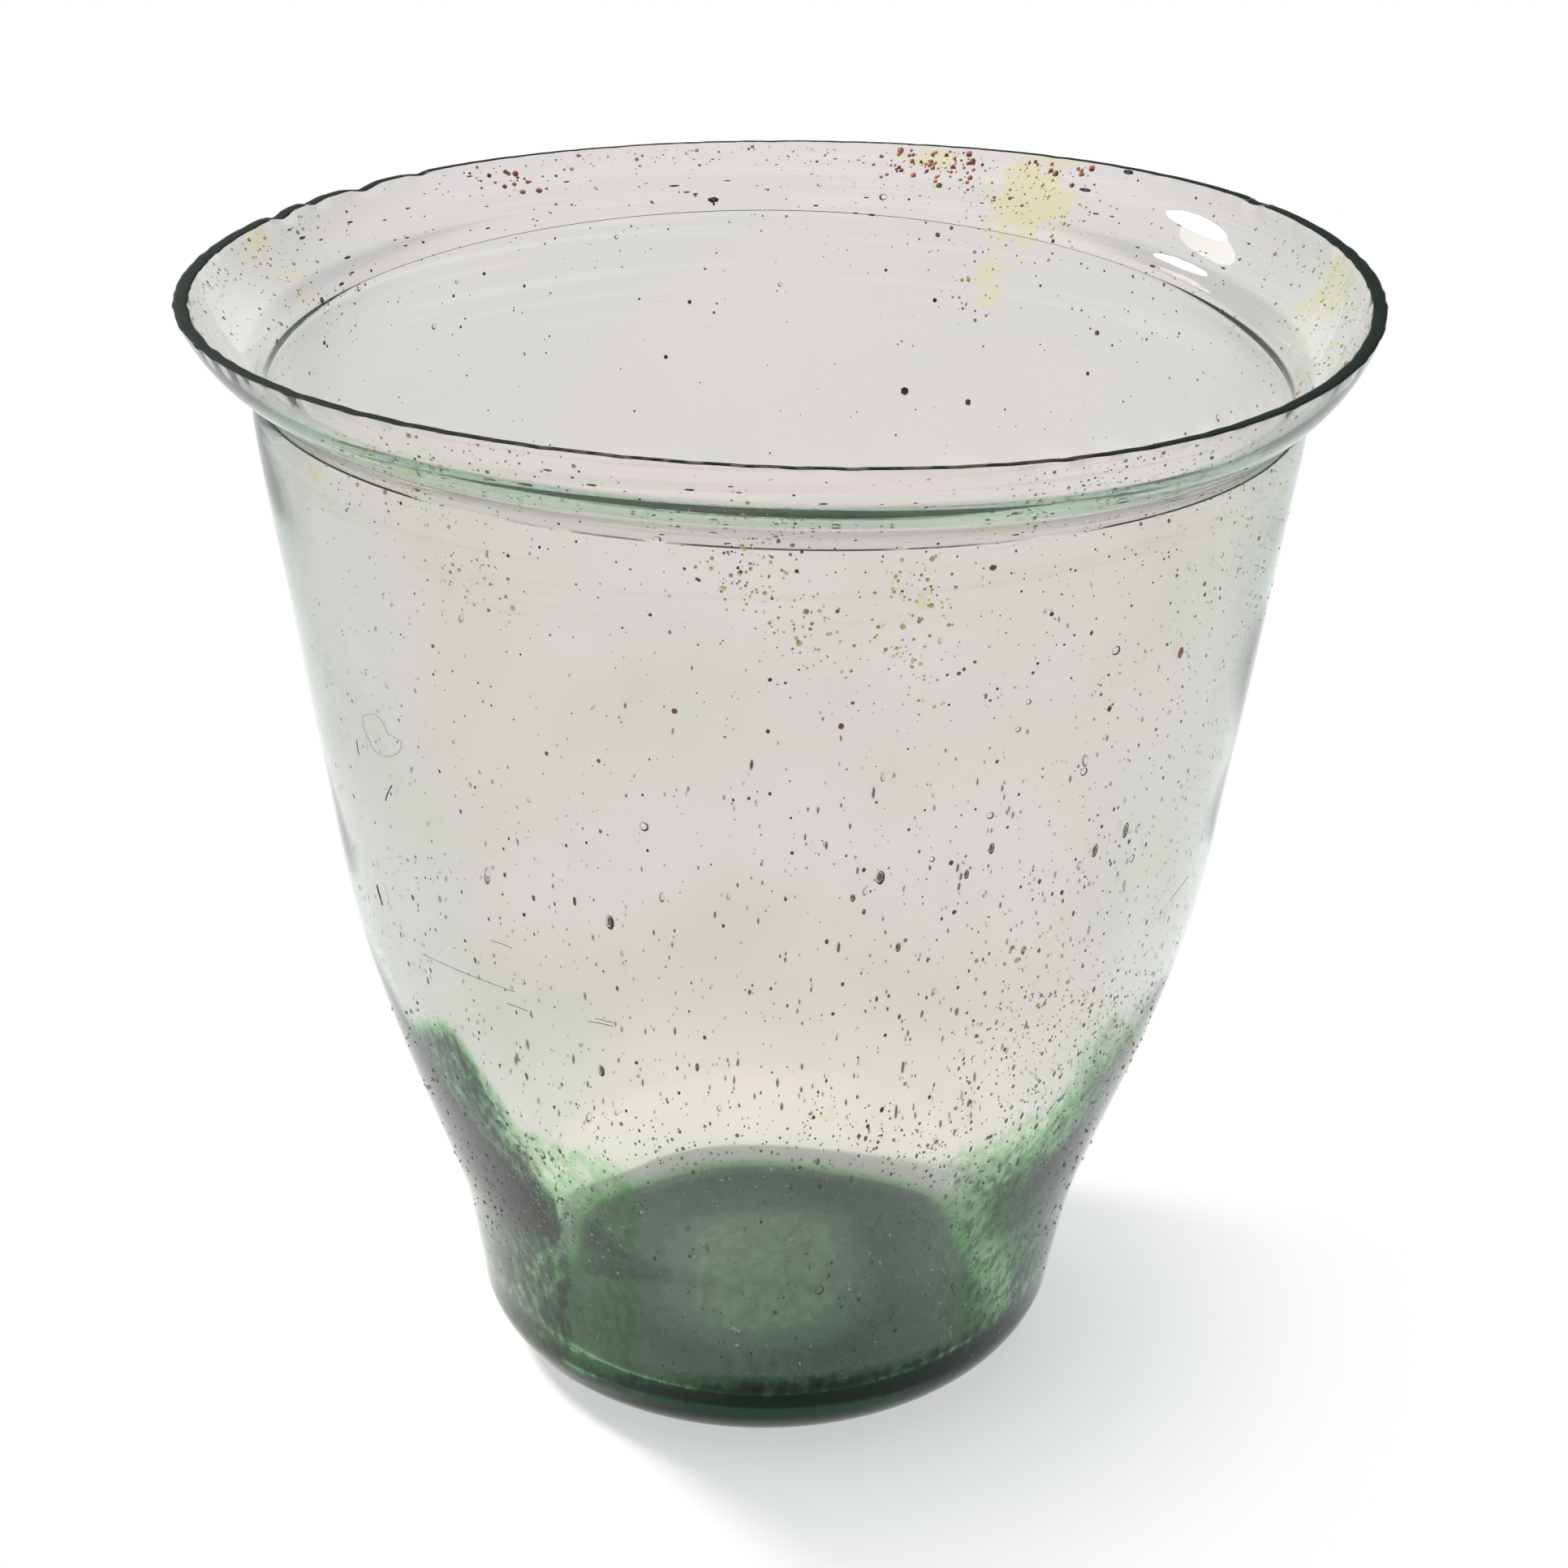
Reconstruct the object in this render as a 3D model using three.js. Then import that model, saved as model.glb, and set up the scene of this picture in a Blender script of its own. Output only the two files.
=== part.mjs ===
// A free-blown glass lamp: one bucket-shaped vessel with a rounded base, a tapering wall,
// a sharp crease and a flared rim with a plain, cracked-off edge. It held oil and a floating wick.
// Everything is in millimetres. The vessel stands on z = 0 and its axis is Z.
import * as THREE from "three";

// Driving dimensions of the outside
const creaseRadius = 52.7;
const creaseHeight = 113.9;
const flareReach = 7.3;
const flareHeight = 7.6;
const heelRadius = 32.9;
const heelHeight = 8;
const standingRadius = 24;
const standingWidth = 8;
const kickHeight = 1.2;

// Driving dimensions of the glass
const rimEdgeWidth = 1.5;
const ridgeDepth = 1.5;
const ridgeRise = 1.7;
const ridgeRounding = 3.5;
const wallThickness = 1.4;
const lowerWallThickness = 2;
const thinWallHeight = 40;
const thickWallHeight = 18;
const floorThickness = 3;
const floorRadius = 25;
const floorCornerHeight = 8;

// The outer wall between heel and crease, from the drawn-in foot over the waist to the upper wall:
// each point is a share of the height from heel to crease and of the step from heel to crease radius.
const wallShares = [
  [0, 0],
  [0.108, 0.106],
  [0.2, 0.258],
  [0.337, 0.5],
  [0.452, 0.657],
  [0.612, 0.783],
  [0.784, 0.904],
  [0.955, 1.02],
  [1, 1],
];
// How far the flare swings out before it turns up to the rim, as shares of its width and height
const flareShares = [0.72, 0.36];
// Which part of the inner flare is taken by the rounding over the ridge
const roundedFlareShare = 0.4;

// How finely the curves are cut
const turnSteps = 64;
const kickSteps = 3;
const heelSteps = 6;
const wallSteps = 20;
const flareSteps = 5;
const ridgeSteps = 4;
const floorCornerSteps = 6;

// Points on a quarter of an ellipse that leaves the floor level and ends upright, first point left out.
function cornerPoints(startRadius, startHeight, endRadius, endHeight, steps) {
  const points = [];
  for (let i = 1; i <= steps; i++) {
    const angle = ((Math.PI / 2) * i) / steps;
    const radius = startRadius + (endRadius - startRadius) * Math.sin(angle);
    const height = endHeight - (endHeight - startHeight) * Math.cos(angle);
    points.push(new THREE.Vector2(radius, height));
  }
  return points;
}

// The outside of the wall as one smooth curve from the heel to the crease.
const outerWall = new THREE.SplineCurve(
  wallShares.map(
    ([heightShare, radiusShare]) =>
      new THREE.Vector2(
        heelRadius + (creaseRadius - heelRadius) * radiusShare,
        heelHeight + (creaseHeight - heelHeight) * heightShare,
      ),
  ),
);

// The glass is thin in the upper wall and thicker in the lower body.
function thicknessAt(height) {
  const thin = THREE.MathUtils.smoothstep(height, thickWallHeight, thinWallHeight);
  return THREE.MathUtils.lerp(lowerWallThickness, wallThickness, thin);
}

// A flare from the crease out to the rim; the outside and the inside of the glass share its form.
function flareCurve(crease, rim) {
  const [widthShare, heightShare] = flareShares;
  const middle = new THREE.Vector2(
    THREE.MathUtils.lerp(crease.x, rim.x, widthShare),
    THREE.MathUtils.lerp(crease.y, rim.y, heightShare),
  );
  return new THREE.QuadraticBezierCurve(crease, middle, rim);
}

// The outside, from the shallow hollow under the base to the rim's outer edge
function outsideProfile() {
  const standingInner = standingRadius - standingWidth;
  const points = [];
  for (let i = 0; i <= kickSteps; i++) {
    const radius = (standingInner * i) / kickSteps;
    const fall = (radius / standingInner) ** 2;
    points.push(new THREE.Vector2(radius, kickHeight * (1 - fall)));
  }
  points.push(new THREE.Vector2(standingRadius, 0));
  points.push(...cornerPoints(standingRadius, 0, heelRadius, heelHeight, heelSteps));
  points.push(...outerWall.getPoints(wallSteps).slice(1, -1));
  const crease = new THREE.Vector2(creaseRadius, creaseHeight);
  const rim = new THREE.Vector2(creaseRadius + flareReach, creaseHeight + flareHeight);
  points.push(...flareCurve(crease, rim).getPoints(flareSteps));
  return points;
}

// The inside, from the rim's inner edge over the rounded ridge and down the wall to the floor
function insideProfile() {
  const rimInnerRadius = creaseRadius + flareReach - rimEdgeWidth;
  const rim = new THREE.Vector2(rimInnerRadius, creaseHeight + flareHeight);
  const ridge = new THREE.Vector2(creaseRadius - ridgeDepth, creaseHeight + ridgeRise);
  const flare = flareCurve(ridge, rim);
  const cornerTop = floorThickness + floorCornerHeight;
  const wall = outerWall
    .getPoints(wallSteps)
    .map((point) => new THREE.Vector2(point.x - thicknessAt(point.y), point.y))
    .filter((point) => point.y > cornerTop && point.y < ridge.y - ridgeRounding);
  const corner = cornerPoints(floorRadius, floorThickness, wall[0].x, cornerTop, floorCornerSteps);
  const roundingEnd = flare.getPoint(roundedFlareShare);
  const rounding = new THREE.QuadraticBezierCurve(wall.at(-1), ridge, roundingEnd);
  const flareTop = flare.getPoints(flareSteps).filter((point) => point.y > roundingEnd.y);
  const floorRim = new THREE.Vector2(floorRadius, floorThickness);
  const floorMiddle = new THREE.Vector2(0, kickHeight + floorThickness);
  const ridgePoints = rounding.getPoints(ridgeSteps).slice(1);
  return [floorMiddle, floorRim, ...corner, ...wall, ...ridgePoints, ...flareTop].reverse();
}

// The section turned about the axis is one closed body of glass.
function glassVessel() {
  const section = [...outsideProfile(), ...insideProfile()];
  const geometry = new THREE.LatheGeometry(section, turnSteps);
  geometry.rotateX(Math.PI / 2);
  const paleGreenGlass = new THREE.MeshStandardMaterial({
    color: 0xb9c9b8,
    roughness: 0.08,
    metalness: 0,
    transparent: true,
    opacity: 0.45,
  });
  const vessel = new THREE.Mesh(geometry, paleGreenGlass);
  vessel.name = "glass_vessel";
  return vessel;
}

const lamp = new THREE.Group();
lamp.name = "glass_lamp";
lamp.add(glassVessel());

export default lamp;
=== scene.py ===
# %% [markdown]
# A free-blown glass lamp, about 12 cm across its rim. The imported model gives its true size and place, and
# this lesson dresses it: the uneven hand-blown glass, its bubbles and seeds, and the stains of the earth.

# %% Load the frame
import math

import bpy
import numpy as np
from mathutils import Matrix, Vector


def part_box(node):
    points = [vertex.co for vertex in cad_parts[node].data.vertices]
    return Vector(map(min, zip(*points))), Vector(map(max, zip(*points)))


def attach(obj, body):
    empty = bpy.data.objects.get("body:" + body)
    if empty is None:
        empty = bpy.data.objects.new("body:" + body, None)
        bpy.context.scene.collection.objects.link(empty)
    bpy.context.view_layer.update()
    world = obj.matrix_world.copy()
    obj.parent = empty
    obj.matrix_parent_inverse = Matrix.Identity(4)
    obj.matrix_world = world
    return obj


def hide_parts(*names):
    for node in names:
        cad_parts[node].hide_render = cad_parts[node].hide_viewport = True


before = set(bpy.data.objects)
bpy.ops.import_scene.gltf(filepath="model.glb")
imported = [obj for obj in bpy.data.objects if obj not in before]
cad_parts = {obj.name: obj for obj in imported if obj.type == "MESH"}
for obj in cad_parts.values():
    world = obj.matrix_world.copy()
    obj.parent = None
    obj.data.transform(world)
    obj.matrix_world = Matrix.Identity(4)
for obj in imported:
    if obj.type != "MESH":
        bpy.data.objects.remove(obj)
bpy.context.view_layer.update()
low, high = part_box("glass_vessel")
MM = 0.001
RIM_RADIUS = (high.x - low.x) / 2
RIM_HEIGHT = high.z
scene = bpy.context.scene
print("vessel box in mm:", [round(v / MM, 1) for v in (*low, *high)])

# %% [markdown]
# The photo looks from close by and a little above the rim, so the rim is a wide ellipse and the base is seen
# steeply. A long lens from far off would flatten that, so this one has 67.6 mm, 0.3 m from the rim's middle.

# %% Camera
CAMERA_PLACE = Vector((0.33 * MM, -289.6 * MM, 199.8 * MM))
CAMERA_TIP_DOWN = math.radians(24.96)
CAMERA_LENS_MM = 67.63
SENSOR_WIDTH_MM = 36
PHOTO_SIDE_PX = 1932
GLASS_BOUNCES = 32
MIRROR_BOUNCES = 16
camera_data = bpy.data.cameras.new("camera")
camera_data.lens = CAMERA_LENS_MM
camera_data.sensor_width = SENSOR_WIDTH_MM
camera = bpy.data.objects.new("camera", camera_data)
camera.location = CAMERA_PLACE
camera.rotation_euler = (math.pi / 2 - CAMERA_TIP_DOWN, 0, 0)
scene.collection.objects.link(camera)
scene.camera = camera
scene.view_settings.view_transform = "Standard"
scene.cycles.max_bounces = GLASS_BOUNCES
scene.cycles.transmission_bounces = GLASS_BOUNCES
scene.cycles.glossy_bounces = MIRROR_BOUNCES
print("camera", round(CAMERA_PLACE.length / MM), "mm from the foot")


# %% [markdown]
# Materials could be joined by hand in the shader editor. Helpers that add a node, join it and end a tree
# keep each material to a few lines that can be read and run again.

# %% Node helpers
def new_tree(data):
    """Empties a material's or world's node tree and returns it."""
    data.use_nodes = True
    data.node_tree.nodes.clear()
    return data.node_tree


def add_node(tree, kind, settings=None, **inputs):
    """Adds a shader node; settings are its own properties, and inputs are values for its sockets."""
    node = tree.nodes.new("ShaderNode" + kind)
    for name, value in (settings or {}).items():
        setattr(node, name, value)
    for name, value in inputs.items():
        node.inputs[name.replace("_", " ")].default_value = value
    return node


def join(tree, source, target):
    """Links a socket to an input socket, or gives the input a plain value."""
    if isinstance(source, bpy.types.NodeSocket):
        tree.links.new(source, target)
    else:
        target.default_value = source


def add_coordinate(tree, space, axis):
    """One coordinate of a space, such as the height in the object's own space."""
    parts = add_node(tree, "SeparateXYZ")
    join(tree, add_node(tree, "TexCoord").outputs[space], parts.inputs[0])
    return parts.outputs[axis]


def add_ramp(tree, source, start, end, low=0, high=1):
    """A soft step from low to high while the source goes from start to end, which may be sockets."""
    settings = {"interpolation_type": "SMOOTHSTEP"}
    ramp = add_node(tree, "MapRange", settings, To_Min=low, To_Max=high)
    join(tree, source, ramp.inputs["Value"])
    join(tree, start, ramp.inputs["From Min"])
    join(tree, end, ramp.inputs["From Max"])
    return ramp.outputs["Result"]


def add_math(tree, operation, first, second=0):
    """A sum, product or the like of two sockets or numbers."""
    node = add_node(tree, "Math", {"operation": operation})
    join(tree, first, node.inputs[0])
    join(tree, second, node.inputs[1])
    return node.outputs[0]


def mix_shaders(tree, share, first, second):
    """Mixes two shaders; a share of 1 shows only the second."""
    mix = add_node(tree, "MixShader")
    join(tree, share, mix.inputs[0])
    join(tree, first.outputs[0], mix.inputs[1])
    join(tree, second.outputs[0], mix.inputs[2])
    return mix


def end_tree(tree, surface, kind="OutputMaterial"):
    """Ends a tree with its output, which shows a surface, and gives the output."""
    output = add_node(tree, kind)
    join(tree, surface.outputs[0], output.inputs["Surface"])
    return output


print("materials at the start", len(bpy.data.materials))


# %% [markdown]
# Glass shows what is round it: a plain white backdrop that ends in a grey ceiling. Lighting everything with
# that white would wash the glass out, so only the camera, mirror reflections and rays through the glass meet
# it, and all other light comes from a softer sky.

# %% World
BACKDROP_WHITE = (1, 1, 1, 1)
SKY_COLOR = (0.88, 0.95, 1, 1)
SKY_STRENGTH = 0.8
CEILING_GREY = 0.45
CEILING_START = 0.3
CEILING_END = 0.62
world = bpy.data.worlds.new("studio")
scene.world = world
tree = new_tree(world)
sky = add_node(tree, "Background", Color=SKY_COLOR, Strength=SKY_STRENGTH)
backdrop = add_node(tree, "Background", Color=BACKDROP_WHITE)
upward = add_coordinate(tree, "Generated", "Z")
ceiling = add_ramp(tree, upward, CEILING_START, CEILING_END, 1, CEILING_GREY)
join(tree, ceiling, backdrop.inputs["Strength"])
rays = add_node(tree, "LightPath").outputs
camera_or_mirror = add_math(tree, "MAXIMUM", rays["Is Camera Ray"], rays["Is Glossy Ray"])
seen = add_math(tree, "MAXIMUM", camera_or_mirror, rays["Is Transmission Ray"])
end_tree(tree, mix_shaders(tree, seen, sky, backdrop), "OutputWorld")
print("world has", len(tree.nodes), "nodes")


# %% [markdown]
# Light falls from high on the left and behind. A point lamp would throw a hard shadow, so a soft oval lamp
# throws the pale one to the right and to the front, and makes the white ovals inside the right of the rim.

# %% Lamp
LAMP_PLACE = Vector((-0.5, 0.32, 0.62))
LAMP_AIM = Vector((0, 0, 60 * MM))
LAMP_WIDTH = 0.2
LAMP_DEPTH = 0.16
LAMP_COLOR = (1, 0.94, 0.84)
LAMP_WATTS = 10
lamp_data = bpy.data.lights.new("window_lamp", "AREA")
lamp_data.shape = "ELLIPSE"
lamp_data.size = LAMP_WIDTH
lamp_data.size_y = LAMP_DEPTH
lamp_data.energy = LAMP_WATTS
lamp_data.color = LAMP_COLOR
lamp = bpy.data.objects.new("window_lamp", lamp_data)
lamp.location = LAMP_PLACE
lamp.rotation_euler = (LAMP_AIM - LAMP_PLACE).to_track_quat("-Z", "Y").to_euler()
scene.collection.objects.link(lamp)
print("lamp at", [round(v, 2) for v in LAMP_PLACE], "m")


# %% [markdown]
# The floor is a wide white sheet. A bent backdrop would show its bend through the glass, so the sheet is
# flat. Round the vessel it takes light and shadow as paper does, and further out it fades into plain white.
# To the far left and right it looks a little greyer through the glass, which draws the sides of the wall.

# %% Floor
FLOOR_SIZE = 3
FLOOR_GAP = 0.05 * MM
SHADOW_NEAR = 0.028
SHADOW_FAR = 0.076
BOUNCED_SHARE = 0.45
FLOOR_COLOR = (0.93, 0.93, 0.93, 1)
SHEET_HALF_WIDTH = 0.1
SIDE_FADE = 0.07
SIDE_GREY = 0.8
bpy.ops.object.select_all(action="DESELECT")
bpy.ops.mesh.primitive_plane_add(size=FLOOR_SIZE, location=(0, 0, -FLOOR_GAP))
floor = bpy.context.object
floor.name = "floor"
floor_material = bpy.data.materials.new("white_floor")
tree = new_tree(floor_material)
paper = add_node(tree, "BsdfDiffuse", Color=FLOOR_COLOR)
bounced = add_node(tree, "Emission", Color=BACKDROP_WHITE)
far_white = add_node(tree, "Emission", Color=BACKDROP_WHITE)
sideways = add_math(tree, "ABSOLUTE", add_coordinate(tree, "Object", "X"))
side_grey = add_ramp(tree, sideways, SHEET_HALF_WIDTH, SHEET_HALF_WIDTH + SIDE_FADE, 1, SIDE_GREY)
camera_ray = add_node(tree, "LightPath").outputs["Is Camera Ray"]
join(tree, add_math(tree, "MAXIMUM", side_grey, camera_ray), far_white.inputs["Strength"])
distance = add_node(tree, "VectorMath", {"operation": "LENGTH"})
join(tree, add_node(tree, "TexCoord").outputs["Object"], distance.inputs[0])
fade = add_ramp(tree, distance.outputs["Value"], SHADOW_NEAR, SHADOW_FAR)
near_paper = mix_shaders(tree, BOUNCED_SHARE, paper, bounced)
end_tree(tree, mix_shaders(tree, fade, near_paper, far_white))
floor.data.materials.append(floor_material)
print("floor reaches", FLOOR_SIZE / 2, "m from the vessel")


# %% [markdown]
# The vessel is blown round: a rounded base, a thin tapering wall that thickens below, a crease and a flare.
# Rings of a cylinder could be scaled by eye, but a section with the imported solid's sizes stays true to it.
# Only the crease is a little rounded here, and the ridge inside it is lower, because its green band in the
# photo is narrow. Heights and radii are in metres.

# %% Sizes of the section
CREASE_RADIUS = 52.7 * MM
CREASE_HEIGHT = 113.9 * MM
HEEL_RADIUS = 32.9 * MM
HEEL_HEIGHT = 8 * MM
STANDING_RADIUS = 24 * MM
STANDING_WIDTH = 8 * MM
KICK_HEIGHT = 1.2 * MM
RIM_EDGE_WIDTH = 1.5 * MM
RIDGE_DEPTH = 0.65 * MM
RIDGE_RISE = 1.24 * MM
RIDGE_BEND_RISE = 0.85 * MM
RIDGE_ROUNDING = 2 * MM
CREASE_ROUNDING = 1 * MM
CREASE_ROUNDED_SHARE = 0.12
WALL_THICKNESS = 1.4 * MM
LOWER_WALL_THICKNESS = 2 * MM
THIN_WALL_HEIGHT = 40 * MM
THICK_WALL_HEIGHT = 18 * MM
FLOOR_THICKNESS = 3 * MM
FLOOR_RADIUS = 25 * MM
FLOOR_CORNER_HEIGHT = 8 * MM
FLARE_SHARES = (0.72, 0.36)
ROUNDED_FLARE_SHARE = 0.25
# shares of the way from heel to crease: radius and height
WALL_SHARES = (
    (0, 0),
    (0.106, 0.108),
    (0.258, 0.2),
    (0.5, 0.337),
    (0.657, 0.452),
    (0.783, 0.612),
    (0.904, 0.784),
    (1.02, 0.955),
    (1, 1),
)
STANDING_INNER = STANDING_RADIUS - STANDING_WIDTH
KICK_STEPS = 6
RING_STEPS = 4
CORNER_STEPS = 12
WALL_STEPS = 6
CREASE_STEPS = 5
FLARE_STEPS = 12
TURN_STEPS = 480
print("section reaches from", HEEL_RADIUS / MM, "to", round(RIM_RADIUS / MM, 1), "mm radius")


# %% Curves of the section
def share_between(value, start, end):
    """How far a value has gone from start to end, from 0 to 1."""
    return np.clip((value - start) / (end - start), 0, 1)


def soft_step(value, start, end):
    """A step from 0 to 1 between start and end, soft at both."""
    share = share_between(value, start, end)
    return share * share * (3 - 2 * share)


def smooth_curve(points, steps):
    """A Catmull-Rom curve through points, with steps pieces between two of them."""
    points = [np.array(p, float) for p in points]
    padded = [2 * points[0] - points[1], *points, 2 * points[-1] - points[-2]]
    made = []
    for before, start, end, after in zip(padded, padded[1:], padded[2:], padded[3:]):
        for i in range(steps):
            t = i / steps
            bend = 2 * before - 5 * start + 4 * end - after
            twist = 3 * start - 3 * end + after - before
            made.append(start + 0.5 * t * (end - before + t * (bend + t * twist)))
    return np.array([*made, points[-1]])


def corner_curve(start, end, steps):
    """A quarter of an ellipse that leaves start level and reaches end upright."""
    angle = np.linspace(0, math.pi / 2, steps + 1)
    radius = start[0] + (end[0] - start[0]) * np.sin(angle)
    height = end[1] - (end[1] - start[1]) * np.cos(angle)
    return np.stack([radius, height], 1)


def bent_line(start, corner, end, steps):
    """A curve from start to end that is pulled towards a corner."""
    start, corner, end = np.array(start), np.array(corner), np.array(end)
    t = np.linspace(0, 1, steps + 1)[:, None]
    return (1 - t) ** 2 * start + 2 * t * (1 - t) * corner + t**2 * end


def flare_curve(crease, rim):
    """The flare swings out from the crease and turns up to the rim."""
    crease, rim = np.array(crease), np.array(rim)
    return bent_line(crease, crease + (rim - crease) * np.array(FLARE_SHARES), rim, FLARE_STEPS)


# %% Outside and inside of the section
def thickness_at(height):
    """How thick the wall is at a height: thin above and thicker in the lower body."""
    thin = soft_step(height, THICK_WALL_HEIGHT, THIN_WALL_HEIGHT)
    return LOWER_WALL_THICKNESS + (WALL_THICKNESS - LOWER_WALL_THICKNESS) * thin


def outside_section():
    """Points from the middle of the hollow under the base to the rim's outer edge."""
    kick_radius = np.linspace(0, STANDING_INNER, KICK_STEPS + 1)
    kick = np.stack([kick_radius, KICK_HEIGHT * (1 - (kick_radius / STANDING_INNER) ** 2)], 1)
    ring_radius = np.linspace(STANDING_INNER, STANDING_RADIUS, RING_STEPS + 1)[1:-1]
    ring = np.stack([ring_radius, np.zeros(RING_STEPS - 1)], 1)
    heel = corner_curve((STANDING_RADIUS, 0), (HEEL_RADIUS, HEEL_HEIGHT), CORNER_STEPS)
    crease = (CREASE_RADIUS, CREASE_HEIGHT)
    flare = flare_curve(crease, (RIM_RADIUS, RIM_HEIGHT))
    wall = outer_wall[outer_wall[:, 1] < CREASE_HEIGHT - CREASE_ROUNDING]
    rounded = math.ceil(CREASE_ROUNDED_SHARE * FLARE_STEPS)
    fillet_start = (CREASE_RADIUS, CREASE_HEIGHT - CREASE_ROUNDING)
    fillet = bent_line(fillet_start, crease, flare[rounded], CREASE_STEPS)
    return np.vstack([kick, ring, heel, wall[1:], fillet, flare[rounded + 1 :]])


def inside_section():
    """Points from the rim's inner edge to the middle of the floor."""
    ridge = (CREASE_RADIUS - RIDGE_DEPTH, CREASE_HEIGHT + RIDGE_RISE)
    flare = flare_curve(ridge, (RIM_RADIUS - RIM_EDGE_WIDTH, RIM_HEIGHT))
    rounded = round(ROUNDED_FLARE_SHARE * FLARE_STEPS)
    corner_top = FLOOR_THICKNESS + FLOOR_CORNER_HEIGHT
    wall = outer_wall - np.stack([thickness_at(outer_wall[:, 1]), np.zeros(len(outer_wall))], 1)
    bend = (CREASE_RADIUS - WALL_THICKNESS, CREASE_HEIGHT + RIDGE_BEND_RISE)
    wall = wall[(wall[:, 1] > corner_top) & (wall[:, 1] < bend[1] - RIDGE_ROUNDING)]
    ridge_round = bent_line(wall[-1], bend, flare[rounded], FLARE_STEPS)
    corner = corner_curve((FLOOR_RADIUS, FLOOR_THICKNESS), (wall[0][0], corner_top), CORNER_STEPS)
    middle = np.array([[0, KICK_HEIGHT + FLOOR_THICKNESS]])
    return np.vstack([middle, corner, wall, ridge_round[1:], flare[rounded + 1 :]])[::-1]


# %% The whole section
heel_point = np.array([HEEL_RADIUS, HEEL_HEIGHT])
crease_point = np.array([CREASE_RADIUS, CREASE_HEIGHT])
wall_points = heel_point + (crease_point - heel_point) * np.array(WALL_SHARES)
outer_wall = smooth_curve(wall_points, WALL_STEPS)
outside = outside_section()
inside = inside_section()
section = np.vstack([outside, inside])
print("section points", len(section))


# %% [markdown]
# Glass needs both sides of its wall to bend light. A thickened single sheet would be even all over, so the
# whole section is spun: one point is extruded along it, and the line is spun about the axis. That leaves
# double points on the seam and the axis, which are merged before the normals are turned outwards.

# %% Spin the vessel
MERGE_GAP = 0.001 * MM
SMOOTH_ANGLE = math.radians(50)
bpy.ops.object.select_all(action="DESELECT")
bpy.ops.mesh.primitive_plane_add(size=MM, location=(0, 0, section[0][1]))
vessel = bpy.context.object
vessel.name = "blown_glass"
bpy.ops.object.transform_apply(location=True, rotation=True, scale=True)
bpy.ops.object.mode_set(mode="EDIT")
bpy.ops.mesh.select_all(action="SELECT")
bpy.ops.mesh.merge(type="CENTER")
for here, there in zip(section, section[1:]):
    step = (there[0] - here[0], 0, there[1] - here[1])
    bpy.ops.mesh.extrude_region_move(TRANSFORM_OT_translate={"value": step})
bpy.ops.mesh.select_all(action="SELECT")
bpy.ops.mesh.spin(steps=TURN_STEPS, angle=2 * math.pi, center=(0, 0, 0), axis=(0, 0, 1))
bpy.ops.mesh.select_all(action="SELECT")
bpy.ops.mesh.remove_doubles(threshold=MERGE_GAP)
bpy.ops.mesh.normals_make_consistent(inside=False)
bpy.ops.object.mode_set(mode="OBJECT")
bpy.ops.object.shade_smooth_by_angle(angle=SMOOTH_ANGLE)
print("vessel faces", len(vessel.data.polygons))

# %% [markdown]
# Hand-blown glass is never a true turning. The base sits a little to the left of the rim, the rim dips at the
# front right, and the crease runs uneven. The hollow sits a little towards the back, so the base is thickest
# in front. The rim was cracked off, so its edge is thick at the sides, thin in front and behind, and slightly
# nicked. Sculpting couldn't be repeated for the bubbles, so one function holds all of this, and everything
# that lies in the glass goes through it too.

# %% Uneven, hand-blown shape
BASE_LEAN = -1.92 * MM
RIM_WAVES = ((1, 0.52 * MM, 148), (2, 0.58 * MM, 50), (3, 0.35 * MM, 16.5))
CREASE_WAVES = ((1, 2.13 * MM, 127.4), (2, 0.89 * MM, 81.5))
CREASE_WAVES_FROM = 0.7 * CREASE_HEIGHT
RIM_MEAN_DROP = 0.15 * MM
CREASE_MEAN_DROP = 0.375 * MM
HOLLOW_SHIFT = (0.3 * MM, 0.6 * MM)
HOLLOW_SHIFT_BELOW = 12 * MM
HOLLOW_TRUE_ABOVE = 40 * MM
RIM_THINNING = 0.7 * MM
RIM_CHIPPING = 0.018 * MM
CHIPPED_SHARE = 0.1
# angle and half width in degrees, and depth
RIM_NICKS = (
    (156, 1.3, 0.5 * MM),
    (150, 0.9, 0.35 * MM),
    (142, 1.6, 0.55 * MM),
    (134, 1, 0.35 * MM),
    (29, 1.1, 0.3 * MM),
)
CHIP_COUNTS = (25, 110)
RIPPLE_HEIGHT = 0.05 * MM
RIPPLE_LENGTHS = (18 * MM, 60 * MM)
RIPPLE_TURNS = (1, 9)
RIPPLE_LAG = 2
RIPPLED_ABOVE = 3 * HEEL_HEIGHT
WAVE_COUNT = 14
RANDOM_SEED = 7
outer_line = outside[KICK_STEPS + RING_STEPS :]
inner_line = inside[:-1][::-1]
hand = np.random.default_rng(RANDOM_SEED)
ripple_waves = [
    (hand.integers(*RIPPLE_TURNS), hand.uniform(*RIPPLE_LENGTHS), hand.uniform(0, 2 * math.pi))
    for _ in range(WAVE_COUNT)
]
chip_waves = [
    (hand.integers(*CHIP_COUNTS), RIM_CHIPPING, hand.uniform(0, 360))
    for _ in range(WAVE_COUNT)
]
print("ripples turn", [int(count) for count, *_ in ripple_waves], "times round the vessel")


# %% Waves, ripples and chips
def turn_from(start, angle):
    """The shortest turn from one angle to another."""
    return np.angle(np.exp(1j * (angle - start)))


def bump(distance, spread):
    """1 in the middle and softly down to 0 further out."""
    return np.exp(-((distance / spread) ** 2))


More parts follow.
